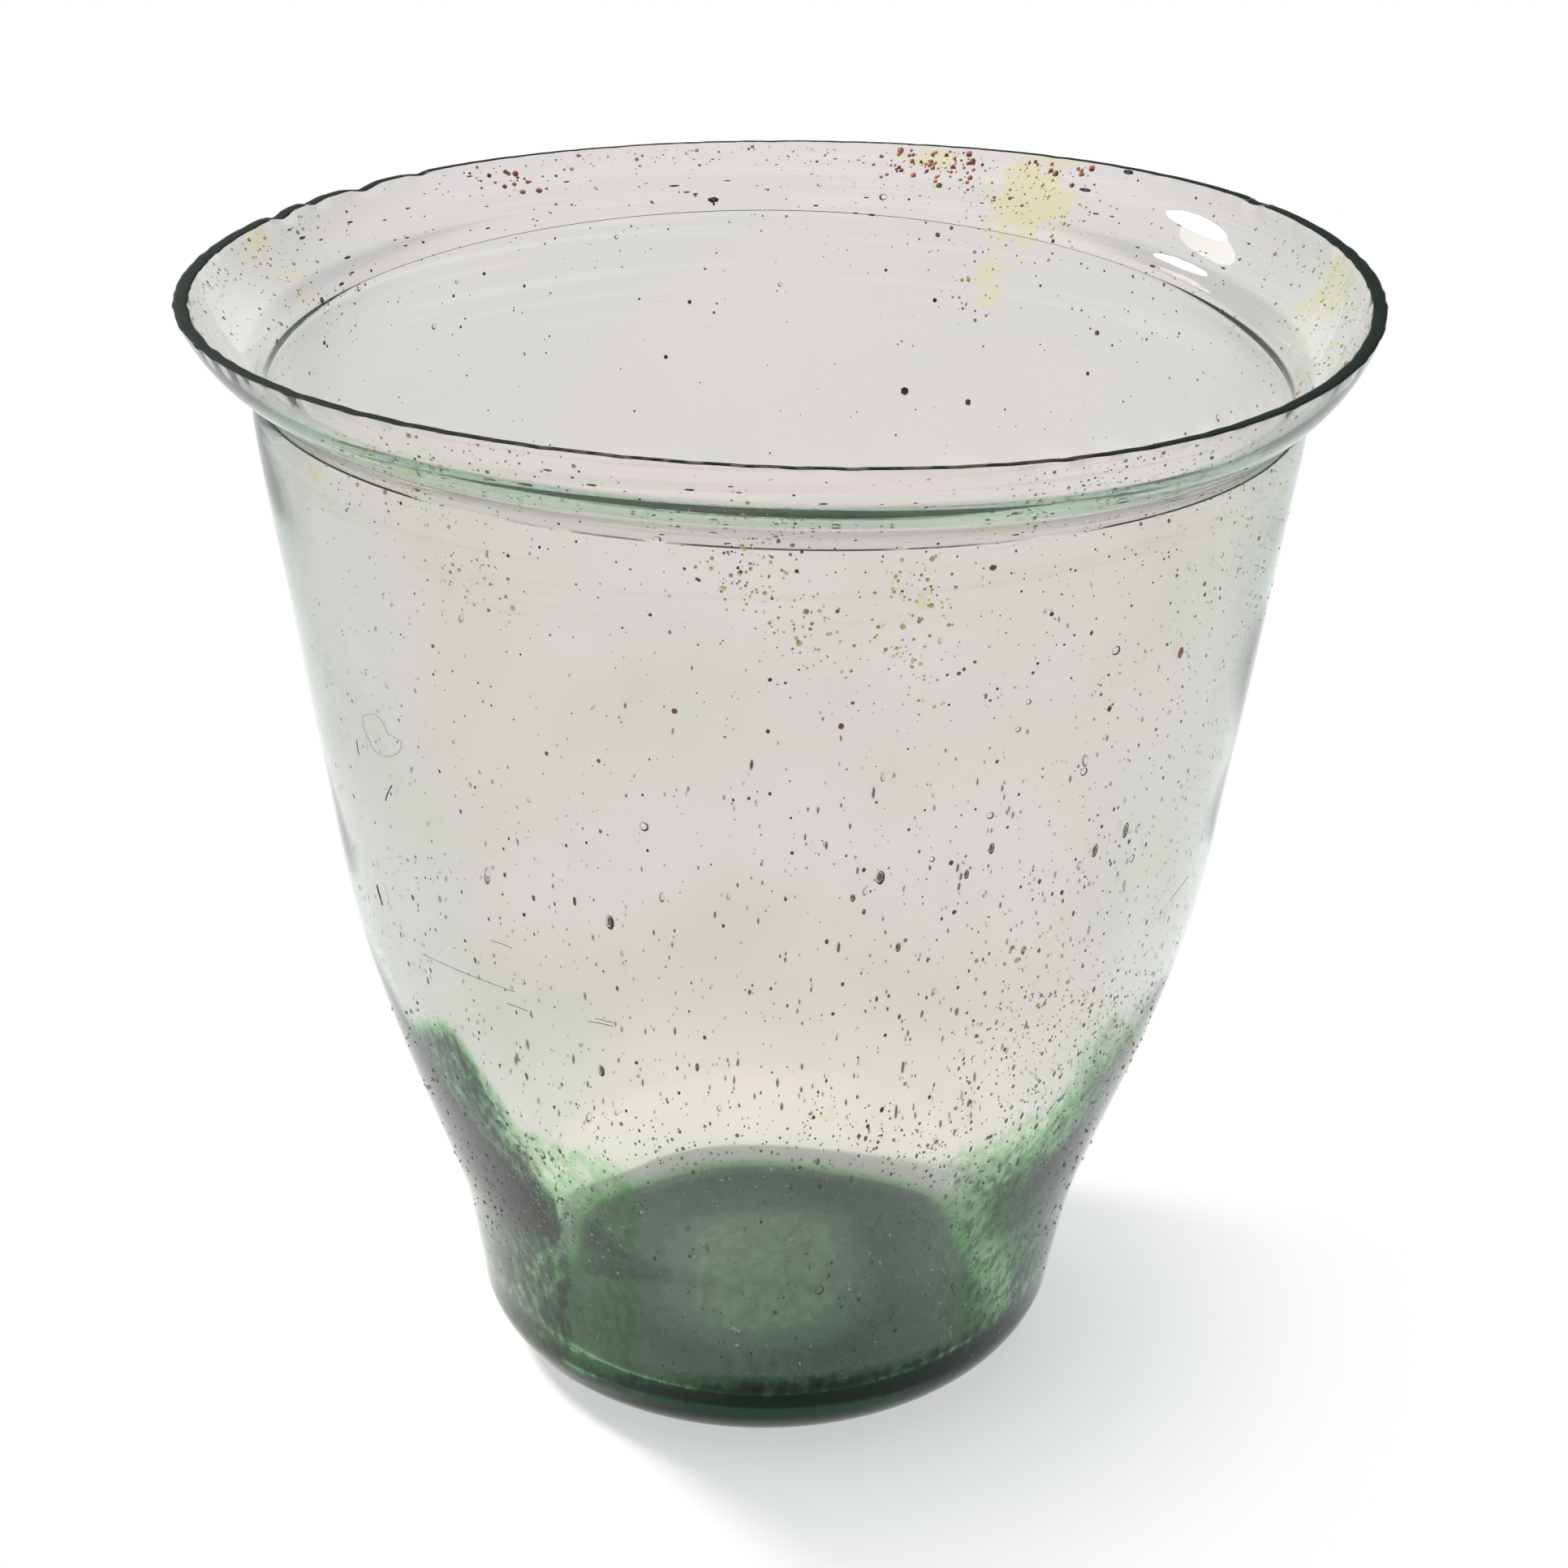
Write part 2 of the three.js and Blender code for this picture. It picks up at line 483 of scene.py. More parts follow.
def waves(angle, parts):
    """A sum of waves round the vessel, each with its count, height and its crest's angle in degrees."""
    return sum(size * np.cos(count * (angle - math.radians(crest))) for count, size, crest in parts)


def ripples(angle, height, depth):
    """Slow ripples over a surface; depth shifts them, so that the inside isn't the outside's copy."""
    made = np.zeros_like(angle)
    for count, length, start in ripple_waves:
        made += np.cos(count * angle + 2 * math.pi * height / length + start + RIPPLE_LAG * depth)
    return RIPPLE_HEIGHT * made / math.sqrt(WAVE_COUNT)


def rim_damage(angle):
    """How far the rim's edge is chipped down at an angle."""
    made = waves(angle, chip_waves) / 2
    for degrees, width, nick_depth in RIM_NICKS:
        made += nick_depth * bump(np.degrees(turn_from(math.radians(degrees), angle)), width)
    return made


def lean_at(height):
    """How far the vessel leans sideways at a height."""
    return BASE_LEAN * (1 - height / RIM_HEIGHT) ** 2


print("the base leans", round(lean_at(0) / MM, 2), "mm sideways")


# %% Moving places to the uneven glass
def polar(places):
    """How far places are from the axis, and at which angle."""
    return np.hypot(places[:, 0], places[:, 1]), np.arctan2(places[:, 1], places[:, 0])


def turned(radius, angle, height):
    """Places at a radius, an angle and a height."""
    return np.stack([radius * np.cos(angle), radius * np.sin(angle), height], 1)


def hand_blown(places, depth):
    """Moves points of the true turning to the uneven glass; depth is 0 outside and 1 inside."""
    moved = places.copy()
    radius, angle = polar(places)
    height = places[:, 2]
    near_rim = share_between(height, CREASE_HEIGHT, RIM_HEIGHT)
    near_crease = share_between(height, CREASE_WAVES_FROM, CREASE_HEIGHT) ** 2 * (1 - near_rim)
    at_edge = share_between(near_rim, 1 - CHIPPED_SHARE, 1)
    moved[:, 2] += near_rim * (waves(angle, RIM_WAVES) - RIM_MEAN_DROP)
    moved[:, 2] += near_crease * (waves(angle, CREASE_WAVES) - CREASE_MEAN_DROP)
    moved[:, 2] -= at_edge * np.abs(rim_damage(angle))
    above_foot = share_between(height, HEEL_HEIGHT, RIPPLED_ABOVE)
    swell = above_foot * ripples(angle, height, depth) + at_edge * waves(angle, chip_waves)
    swell += RIM_THINNING * depth * np.clip(2 * near_rim, 0, 1) ** 2 * np.sin(angle) ** 2
    moved[:, :2] *= (1 + swell / radius.clip(MM))[:, None]
    moved[:, 0] += lean_at(height)
    low_share = soft_step(height, HOLLOW_TRUE_ABOVE, HOLLOW_SHIFT_BELOW)
    moved[:, :2] += np.outer(depth * low_share, HOLLOW_SHIFT)
    return moved


def vertex_places(piece):
    """The places of a piece's vertices as rows of three."""
    flat = np.empty(len(piece.data.vertices) * 3)
    piece.data.vertices.foreach_get("co", flat)
    return flat.reshape(-1, 3)


def move_vertices(piece, places):
    """Puts a piece's vertices at new places."""
    piece.data.vertices.foreach_set("co", places.ravel())
    piece.data.update()


def side_radius(line, height):
    """The radius of the true turning's outside or inside at a height."""
    return np.interp(height, line[:, 1], line[:, 0])


print("radius half way up", round(side_radius(outer_line, RIM_HEIGHT / 2) / MM, 1), "mm")


# %% The vessel made uneven
true_places = vertex_places(vessel)
true_radius, true_angle = polar(true_places)
true_height = true_places[:, 2]
middle_radius = (side_radius(outer_line, true_height) + side_radius(inner_line, true_height)) / 2
on_ring = true_height < KICK_HEIGHT + MERGE_GAP
on_inside = ~on_ring & ((true_radius < middle_radius) | (true_radius < FLOOR_RADIUS))
on_inside = on_inside.astype(float)
move_vertices(vessel, hand_blown(true_places, on_inside))
print("vessel now reaches", round(vertex_places(vessel)[:, 2].max() / MM, 2), "mm high")


# %% [markdown]
# Details belong where the photo shows them. They could be pushed about by hand until they fit, but a photo
# pixel can be used directly: it gives a ray from the camera, and the place where the ray meets the near or
# the far wall gives the detail's angle and height on the vessel.

# %% Places on the walls
NEAR = 0
FAR = 1
RAY_START = 0.18
RAY_END = 0.42
RAY_STEPS = 1500
PIXEL_ANGLE = SENSOR_WIDTH_MM / CAMERA_LENS_MM / PHOTO_SIDE_PX
COS_TIP = math.cos(CAMERA_TIP_DOWN)
SIN_TIP = math.sin(CAMERA_TIP_DOWN)


def photo_to_wall(pixels, wall):
    """The angles and heights where photo pixels show the near wall's outside or the far wall's inside."""
    pixels = np.array(pixels, float).reshape(-1, 2)
    right = (pixels[:, 0] - PHOTO_SIDE_PX / 2) * PIXEL_ANGLE
    up = (PHOTO_SIDE_PX / 2 - pixels[:, 1]) * PIXEL_ANGLE
    rays = np.stack([right, COS_TIP + up * SIN_TIP, up * COS_TIP - SIN_TIP], 1)
    far_along = np.linspace(RAY_START, RAY_END, RAY_STEPS)
    places = np.array(CAMERA_PLACE) + far_along[None, :, None] * rays[:, None, :]
    x, y, height = np.moveaxis(places, 2, 0)
    x -= lean_at(height)
    line = inner_line if wall == FAR else outer_line
    in_wall = (np.hypot(x, y) < side_radius(line, height)) & (height < RIM_HEIGHT) & (height > 0)
    met = in_wall.any(1)
    first = in_wall.argmax(1)
    last = RAY_STEPS - 1 - in_wall[:, ::-1].argmax(1)
    chosen = places[np.arange(len(pixels)), last if wall == FAR else first][met]
    return polar(chosen)[1], chosen[:, 2]


def photo_pixels(places):
    """The photo pixels at which the camera sees places."""
    from_camera = places - np.array(CAMERA_PLACE)
    ahead = from_camera[:, 1] * COS_TIP - from_camera[:, 2] * SIN_TIP
    up = from_camera[:, 1] * SIN_TIP + from_camera[:, 2] * COS_TIP
    scale = 1 / (PIXEL_ANGLE * ahead)
    return PHOTO_SIDE_PX / 2 + scale * from_camera[:, 0], PHOTO_SIDE_PX / 2 - scale * up


def glass_place(angle, height, depth):
    """Points in the uneven glass, from the angle, the height and how deep they lie from the outside."""
    radius = side_radius(outer_line, height) * (1 - depth) + side_radius(inner_line, height) * depth
    return hand_blown(turned(radius, angle, height), depth)


mouth_middle = photo_pixels(np.array([[0, 0, RIM_HEIGHT]]))
print("middle of the mouth at photo pixel", [round(float(value[0])) for value in mouth_middle])


# %% [markdown]
# Ochre stains lie on the glass. They could be painted on an image, but each vertex can carry a number for
# the material to read, which needs no image. The stains are soft spots on one wall each, and a fine noise in
# the material breaks them up.

# %% Stains
# photo pixel, wall, half width and half height in mm, and strength
STAIN_SPOTS = (
    (1265, 250, FAR, 6.5, 7, 1),
    (1215, 340, FAR, 3, 8, 0.7),
    (1150, 205, FAR, 6, 2, 0.7),
    (980, 190, FAR, 8, 1.5, 0.5),
    (1640, 350, FAR, 7, 6, 0.8),
    (1600, 440, FAR, 5, 6, 0.6),
    (310, 300, FAR, 6, 4, 0.65),
    (360, 350, FAR, 4, 4, 0.6),
    (480, 570, NEAR, 7, 2.5, 0.65),
    (390, 560, NEAR, 4, 6, 0.5),
    (580, 705, NEAR, 3, 3, 0.45),
    (1130, 712, NEAR, 2.2, 3, 0.75),
    (1575, 620, NEAR, 4, 8, 0.5),
    (1330, 1270, NEAR, 6, 6, 0.5),
    (1020, 1372, NEAR, 2, 1.5, 0.6),
    (640, 1430, NEAR, 5, 4, 0.45),
)
# the least strength that the prints count
COUNTED_FROM = 0.2


def spot_strength(spot):
    """How strongly a soft spot covers the vessel's vertices, from 0 to its own strength."""
    x, y, wall, half_width, half_height, strength = spot
    spot_angle, spot_height = photo_to_wall((x, y), wall)
    along = turn_from(spot_angle, true_angle) * side_radius(outer_line, true_height)
    covered = bump(along, half_width * MM) * bump(true_height - spot_height, half_height * MM)
    return strength * covered * (on_inside if wall == FAR else 1 - on_inside)


def add_mask(name, values):
    """Stores one number for each vertex of the vessel under a name that the material reads."""
    mask = vessel.data.attributes.new(name, "FLOAT", "POINT")
    mask.data.foreach_set("value", np.asarray(values, float))


stain = np.max([spot_strength(spot) for spot in STAIN_SPOTS], 0)
add_mask("stain", stain)
print("stained vertices", int((stain > COUNTED_FROM).sum()))

# %% [markdown]
# A thin grey film darkens the far wall where the photo looks straight through the mouth. A second skin
# would be too close to the first, so the film is one more number. It ends along the near rim, as a line of
# photo pixels, and each vertex is tested against that line where the camera sees it.

# %% Grey film
FILM_EDGE = (
    (235, 430), (330, 490), (500, 535), (700, 562), (966, 575), (1200, 572),
    (1450, 540), (1600, 485), (1690, 420),
)
FILM_SOFTNESS = 24
FILM_SIDE_FADE = 0.3
FILM_SHARE = 0.85
photo_x, photo_y = photo_pixels(vertex_places(vessel))
film = FILM_SHARE * soft_step(np.interp(photo_x, *zip(*FILM_EDGE)) - photo_y, -FILM_SOFTNESS, 0)
film *= soft_step(np.sin(true_angle), 0, FILM_SIDE_FADE)
add_mask("film", film)
print("vertices under the film", int((film > COUNTED_FROM).sum()))

# %% [markdown]
# The underside, the lower sides and the heel in front are darkened with painted shade, for the contact
# shadow under the base and the light lost on long paths through the glass. Dark pieces laid on the glass
# would show their edges, so this is a third number, the painted shade. Rings bound it below, and lines of
# photo pixels bound it at the sides.

# %% Painted shade on the underside and lower sides
# radius in mm and painted shade there
UNDERSIDE_SHADES = ((0, 0.83), (9, 0.86), (14, 1.45), (23, 1.3), (25, 0.5), (27.5, 0))
UNDERSIDE_SHIFT = 2 * MM
LEFT_EDGE = ((545, 1255), (576, 1300), (610, 1350), (638, 1400), (664, 1440), (692, 1500), (705, 1560))
LEFT_GREEN_EDGE = ((575, 1330), (640, 1385), (730, 1420), (790, 1450))
RIGHT_EDGE = (
    (1405, 1255), (1375, 1295), (1345, 1340), (1322, 1380), (1300, 1430), (1270, 1500),
    (1240, 1580),
)
RIGHT_SHADE_EDGE = ((1390, 1270), (1330, 1340), (1290, 1385), (1235, 1420), (1190, 1450), (1180, 1500))
RIGHT_GREEN_EDGE = ((1370, 1300), (1330, 1325), (1280, 1365), (1230, 1395), (1160, 1415))
# side of the photo, painted shade, softness in pixels, and the zone's inner edge
SHADE_ZONES = (
    (-1, 1.05, 24, LEFT_EDGE),
    (-1, 0.32, 50, LEFT_GREEN_EDGE),
    (1, 1.05, 20, RIGHT_EDGE),
    (1, 0.68, 34, RIGHT_SHADE_EDGE),
    (1, 0.3, 46, RIGHT_GREEN_EDGE),
)
HEEL_EDGE = (
    (560, 1575), (640, 1640), (720, 1676), (820, 1690), (966, 1690), (1100, 1672),
    (1180, 1640), (1250, 1585),
)
HEEL_SOFTNESS = 40
HEEL_SHADE = 2.2
# turns from the front at which the painted shade has ended and is still whole
SHADE_END = (math.radians(107), math.radians(99))
painted_side_shade = HEEL_SHADE * soft_step(photo_y - np.interp(photo_x, *zip(*HEEL_EDGE)), 0, HEEL_SOFTNESS)
for side, zone_shade, softness, edge in SHADE_ZONES:
    edge_x, edge_y = zip(*edge)
    past_edge = side * (photo_x - np.interp(photo_y, edge_y, edge_x))
    zone = soft_step(past_edge, -softness / 2, softness / 2) * soft_step(photo_y - edge_y[0], 0, softness)
    painted_side_shade = np.maximum(painted_side_shade, zone_shade * zone)
painted_side_shade *= soft_step(np.abs(turn_from(-math.pi / 2, true_angle)), *SHADE_END)
shade_radius = np.hypot(true_places[:, 0], true_places[:, 1] + UNDERSIDE_SHIFT)
painted_underside_shade = np.interp(shade_radius / MM, *zip(*UNDERSIDE_SHADES))
painted_low_shade = painted_underside_shade * (true_height < 2 * KICK_HEIGHT)
painted_shade = np.where(on_ring, painted_underside_shade, np.maximum(painted_side_shade, painted_low_shade))
painted_shade[on_inside > 0] = 0
add_mask("painted_shade", painted_shade)
print("deep-toned vertices", int((painted_shade > COUNTED_FROM).sum()))


# %% [markdown]
# The glass is clear with a green that grows with thickness. A green surface would be as green where it is
# thin, so the green is in the volume. The skin takes a little of every colour, so the thin wall looks warm
# grey: partly a thin weathering, partly painted shade for the warm grey background seen through the glass.
# Below the crease it is finely lined from turning the vessel while hot. Where the painted shade lies low on
# the body, the skin turns green, deep green and black.

# %% Colours of the glass
# partly weathering, partly painted shade for a warm grey background seen through the glass
GLASS_COLOR = (0.943, 0.859, 0.867, 1)
HAZE_COLOR = (0.9, 0.825, 0.825, 1)
FILM_COLOR = (0.78, 0.71, 0.72, 1)
LINE_COLOR = (0.86, 0.79, 0.78, 1)
STAIN_COLOR = (0.84, 0.76, 0.4, 1)
GREEN_SHADE = (0.3, 0.6, 0.28, 1)
DEEP_SHADE = (0.03, 0.08, 0.045, 1)
BLACK_SHADE = (0.0008, 0.012, 0.005, 1)
GLOSS_TINT = (0.25, 0.25, 0.25, 1)
GLASS_IOR = 1.5
GLASS_ROUGHNESS = 0.025
CLEAR_SHARE = 0.985
ABSORB_COLOR = (0.0625, 0.625, 0.3125, 1)
ABSORB_DENSITY = 80
LINES_BELOW_CREASE = 16 * MM
# noises: scale, detail and, for some, the stretch along each axis
HAZE_NOISE = (45, 5)
LINE_NOISE = (20, 2, (1, 1, 60))
GRAIN_NOISE = (420, 6)
STREAK_NOISE = (950, 6, (1, 1, 0.55))
# soft steps: start and end and, for some, the value before and after
HAZE_STEP = (0.42, 0.68)
LINE_STEP = (0.52, 0.68)
STREAK_STEP = (0.34, 0.66, -0.31, 0.31)
STREAKS_ABOVE_BASE = (1.4 * MM, 5 * MM, 0.2, 1.2)
# the noise at which a stain starts to show, how much less a full stain needs, and its softness
STAIN_START = 0.74
STAIN_GAIN = 0.54
STAIN_SOFTNESS = 0.2
# painted shade: by its strength the skin turns green, deep green and black
SHADE_STEPS = ((GREEN_SHADE, 0.05, 0.45), (DEEP_SHADE, 0.4, 1), (BLACK_SHADE, 1, 1.45))
print("worn and soiled zones take", len(SHADE_STEPS), "tones")


# %% Nodes for noise, colours and masks
def add_noise(tree, scale, detail, stretch=(1, 1, 1)):
    """A noise that sits in the object's own space; stretch scales it along each axis."""
    stretched = add_node(tree, "Mapping", Scale=stretch)
    noise = add_node(tree, "TexNoise", Scale=scale, Detail=detail)
    join(tree, add_node(tree, "TexCoord").outputs["Object"], stretched.inputs["Vector"])
    join(tree, stretched.outputs["Vector"], noise.inputs["Vector"])
    return noise.outputs["Fac"]


def add_color(tree, under, over, share):
    """Lays a colour over another by a share."""
    mix = add_node(tree, "Mix", {"data_type": "RGBA"})
    color_sockets = [socket for socket in mix.inputs if socket.type == "RGBA"]
    join(tree, under, color_sockets[0])
    join(tree, over, color_sockets[1])
    join(tree, share, mix.inputs["Factor"])
    return next(socket for socket in mix.outputs if socket.type == "RGBA")


def add_mask_node(tree, name):
    """Reads one of the vessel's numbers."""
    return add_node(tree, "Attribute", {"attribute_name": name}).outputs["Fac"]


# %% Glass
glass = bpy.data.materials.new("green_glass")
tree = new_tree(glass)
skin = add_node(
    tree,
    "BsdfPrincipled",
    Roughness=GLASS_ROUGHNESS,
    IOR=GLASS_IOR,
    Transmission_Weight=CLEAR_SHARE,
    Specular_Tint=GLOSS_TINT,
)
height = add_coordinate(tree, "Object", "Z")
haze = add_ramp(tree, add_noise(tree, *HAZE_NOISE), *HAZE_STEP)
color = add_color(tree, GLASS_COLOR, HAZE_COLOR, haze)
color = add_color(tree, color, FILM_COLOR, add_mask_node(tree, "film"))
below_crease = add_ramp(tree, height, CREASE_HEIGHT - LINES_BELOW_CREASE, CREASE_HEIGHT)
lines = add_ramp(tree, add_noise(tree, *LINE_NOISE), *LINE_STEP)
color = add_color(tree, color, LINE_COLOR, add_math(tree, "MULTIPLY", below_crease, lines))
stain_gain = add_math(tree, "MULTIPLY", add_mask_node(tree, "stain"), STAIN_GAIN)
stain_start = add_math(tree, "SUBTRACT", STAIN_START, stain_gain)
stain_end = add_math(tree, "ADD", stain_start, STAIN_SOFTNESS)
stained = add_ramp(tree, add_noise(tree, *GRAIN_NOISE), stain_start, stain_end)
color = add_color(tree, color, STAIN_COLOR, stained)
streaks = add_ramp(tree, add_noise(tree, *STREAK_NOISE), *STREAK_STEP)
streaks = add_math(tree, "MULTIPLY", streaks, add_ramp(tree, height, *STREAKS_ABOVE_BASE))
broken = add_math(tree, "ADD", 1, streaks)
# painted shade, broken up by streaks
painted_shade = add_math(tree, "MULTIPLY", add_mask_node(tree, "painted_shade"), broken)
for shade_color, start, end in SHADE_STEPS:
    color = add_color(tree, color, shade_color, add_ramp(tree, painted_shade, start, end))
join(tree, color, skin.inputs["Base Color"])
tint = add_node(tree, "VolumeAbsorption", Color=ABSORB_COLOR, Density=ABSORB_DENSITY)
join(tree, tint.outputs[0], end_tree(tree, skin).inputs["Volume"])
vessel.data.materials.append(glass)
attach(vessel, "root")
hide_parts("glass_vessel")
print("glass material has", len(tree.nodes), "nodes")


# %% [markdown]
# The cracked-off rim was never polished. Its narrow flat top reads as a black-green line: painted shade, for
# the light lost on the long way through the glass to the edge, with brown dirt in front and behind. Dark
# vertices there would bleed down the wall, so a flattened ring lies in that top, as uneven as the rim.

# %% Dark rim edge: painted shade and dirt
RIM_RING_RISE = 0.06 * MM
RIM_RING_MARGIN = 0.04
RIM_RING_SEGMENTS = 8
# black-green painted shade of the rim's top, and the brown of its dirt
RIM_SHADE = (0.004, 0.011, 0.008, 1)
RIM_BROWN = (0.1, 0.085, 0.055, 1)
BROWN_FADE = (32 * MM, 8 * MM)
BROWN_NOISE = (700, 4)
BROWN_STEP = (0.42, 0.6)
DIRT_ROUGHNESS = 0.7
DIRT_GLOSS = 0.08
HALF_EDGE = RIM_EDGE_WIDTH / 2
bpy.ops.object.select_all(action="DESELECT")
bpy.ops.mesh.primitive_torus_add(
    major_segments=TURN_STEPS,
    minor_segments=RIM_RING_SEGMENTS,
    major_radius=RIM_RADIUS,
    minor_radius=HALF_EDGE,
)
rim_shade_ring = bpy.context.object
rim_shade_ring.name = "rim_shade_ring"
ring_places = vertex_places(rim_shade_ring)
ring_radius, ring_angle = polar(ring_places)
rim_ring_depth = 0.5 - (0.5 - RIM_RING_MARGIN) * (ring_radius - RIM_RADIUS) / HALF_EDGE
rim_ring_places = glass_place(ring_angle, np.full(len(ring_places), RIM_HEIGHT), rim_ring_depth)
rim_ring_places[:, 2] += ring_places[:, 2] / HALF_EDGE * RIM_RING_RISE
move_vertices(rim_shade_ring, rim_ring_places)
bpy.ops.object.shade_smooth()
rim_dirt_and_shade = bpy.data.materials.new("rim_dirt_and_shade")
tree = new_tree(rim_dirt_and_shade)
skin = add_node(tree, "BsdfPrincipled", Roughness=DIRT_ROUGHNESS, Specular_IOR_Level=DIRT_GLOSS)
sideways = add_math(tree, "ABSOLUTE", add_coordinate(tree, "Object", "X"))
in_middle = add_ramp(tree, sideways, *BROWN_FADE)
patches = add_ramp(tree, add_noise(tree, *BROWN_NOISE), *BROWN_STEP)
brown_share = add_math(tree, "MULTIPLY", in_middle, patches)
join(tree, add_color(tree, RIM_SHADE, RIM_BROWN, brown_share), skin.inputs["Base Color"])
end_tree(tree, skin)
rim_shade_ring.data.materials.append(rim_dirt_and_shade)
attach(rim_shade_ring, "root")
print("rim crust faces", len(rim_shade_ring.data.polygons))


# %% [markdown]
# The glass is full of small things: dark seeds, drawn-out bubbles, specks of rust-brown and ochre earth.
# Seeds and bubbles are air, so their dark specks and outlines are painted shade.
# Particles on the true turning would miss the uneven glass, so one shape of each kind is copied to places in
# the wall, turned to the wall and sized along the girth, up the wall and through the glass.

# %% Directions in the wall
FRAME_STEP = 0.2 * MM
CRESCENT_SIDE = math.radians(-30)
CRESCENT_THIN = 0.05
CRESCENT_THICK = 0.3
CRESCENT_TAPER = 1.5
CRESCENT_SEGMENTS = (14, 4)


def wall_frame(angle, height, depth):
    """The directions along the girth, up the wall and out of the glass at each place."""
    below = np.clip(height - FRAME_STEP, FLOOR_THICKNESS, RIM_HEIGHT)
    above = np.clip(height + FRAME_STEP, FLOOR_THICKNESS, RIM_HEIGHT)
    upward = glass_place(angle, above, depth) - glass_place(angle, below, depth)
    upward /= np.linalg.norm(upward, axis=1)[:, None]
    along = np.stack([-np.sin(angle), np.cos(angle), np.zeros_like(angle)], 1)
    out = np.cross(along, upward)
    return along, upward, out / np.linalg.norm(out, axis=1)[:, None]


print("directions are measured over", 2 * FRAME_STEP / MM, "mm of wall")


# %% Copies of one shape
def take_template(piece):
    """Gives a shape's points and faces and removes the shape itself."""
    points = vertex_places(piece)
    faces = [tuple(face.vertices) for face in piece.data.polygons]
    bpy.data.objects.remove(piece)
    return points, faces


def copy_shape(name, template, places, axes, sizes, stuff):
    """Makes one piece of a template's copies; sizes holds three lengths for each place."""
    points, faces = template
    material, slot = stuff
    moved = places[:, None, :].repeat(len(points), 1)
    for axis, direction in enumerate(axes):
        moved += points[None, :, axis, None] * sizes[:, None, axis, None] * direction[:, None, :]
    starts = range(0, len(points) * len(places), len(points))
    all_faces = [tuple(start + i for i in face) for start in starts for face in faces]
    mesh = bpy.data.meshes.new(name)
    mesh.from_pydata(moved.reshape(-1, 3).tolist(), [], all_faces)
    mesh.materials.append(material)
    mesh.shade_smooth()
    piece = bpy.data.objects.new(name, mesh)
    scene.collection.objects.link(piece)
    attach(piece, "root")
    print(name, len(places), "copies,", len(mesh.polygons), "faces")


def copy_in_wall(name, template, wall_places, sizes, stuff):
    """Copies a template to places in the wall, given as angles, heights and depths."""
    copy_shape(name, template, glass_place(*wall_places), wall_frame(*wall_places), sizes, stuff)


# %% Grain and crescent
def make_grain():
    """A rounded grain with 20 faces and a radius of 1."""
    bpy.ops.object.select_all(action="DESELECT")
    bpy.ops.mesh.primitive_ico_sphere_add(subdivisions=1, radius=1)
    return take_template(bpy.context.object)


def make_crescent():
    """A ring that is thick on one side and thin on the other, as a bubble's dark outline is, which is painted
    shade.
    """
    major, minor = CRESCENT_SEGMENTS
    bpy.ops.object.select_all(action="DESELECT")
    bpy.ops.mesh.primitive_torus_add(
        major_segments=major,
        minor_segments=minor,
        major_radius=1,
        minor_radius=CRESCENT_THICK,
    )
    points, faces = take_template(bpy.context.object)
    turn = polar(points)[1]
    middle = turned(1, turn, np.zeros(len(turn)))
    thickness = ((1 + np.cos(turn - CRESCENT_SIDE)) / 2) ** CRESCENT_TAPER
    least = CRESCENT_THIN / CRESCENT_THICK
    return middle + (points - middle) * (least + (1 - least) * thickness)[:, None], faces


grain_shape = make_grain()
crescent_shape = make_crescent()
print("grain faces", len(grain_shape[1]), "and crescent faces", len(crescent_shape[1]))


# %% [markdown]
# Seeds and specks are dull, and no two have the same tone. Many materials could do that, but one for each
# kind is enough, because a coarse noise in the object's own space changes it from grain to grain.

# %% Materials of the small things
TONE_NOISE = (900, 3)
TONE_STEP = (0.35, 0.65)
# dark tone, light tone and roughness
# the dark and grey of seeds and bubbles are painted shade; scratches and the flaked patch are marks
SEED_DARK = ((0.012, 0.018, 0.013, 1), (0.12, 0.14, 0.11, 1), 0.5)
SEED_GREY = ((0.1, 0.115, 0.1, 1), (0.3, 0.32, 0.28, 1), 0.5)
# pale floor bubbles: painted highlight
PALE_BUBBLE = ((0.3, 0.36, 0.3, 1), (0.8, 0.85, 0.78, 1), 0.15)
RUST_BROWN = ((0.12, 0.04, 0.022, 1), (0.42, 0.18, 0.1, 1), 0.8)
OCHRE_EARTH = ((0.26, 0.24, 0.08, 1), (0.6, 0.54, 0.28, 1), 0.9)
TAN_FILL = ((0.2, 0.16, 0.07, 1), (0.5, 0.46, 0.28, 1), 0.8)


def toned(name, slot, dark, light, roughness):
    """A dull material between two colours, mixed by noise, together with its slot."""
    material = bpy.data.materials.new(name)
    tree = new_tree(material)
    skin = add_node(tree, "BsdfPrincipled", Roughness=roughness)
    share = add_ramp(tree, add_noise(tree, *TONE_NOISE), *TONE_STEP)
    join(tree, add_color(tree, dark, light, share), skin.inputs["Base Color"])
    end_tree(tree, skin)
    return material, slot


seed_dark = toned("seed_dark", "green_glass", *SEED_DARK)
seed_grey = toned("seed_grey", "green_glass", *SEED_GREY)
pale_bubble = toned("pale_bubble", "green_glass", *PALE_BUBBLE)
rust_brown = toned("rust_brown", "earth_stain", *RUST_BROWN)
ochre_earth = toned("ochre_earth", "earth_stain", *OCHRE_EARTH)
tan_fill = toned("tan_fill", "earth_stain", *TAN_FILL)
print("materials so far", len(bpy.data.materials))


# %% [markdown]
# Seeds are densest low on the body, under the crease and at the sides of the view, most of all on the right.
# They are round near the rim and drawn out upwards lower down, because the glass was pulled there. They are
# too many to place one by one, so random places are tried and kept by how dense the glass is there.

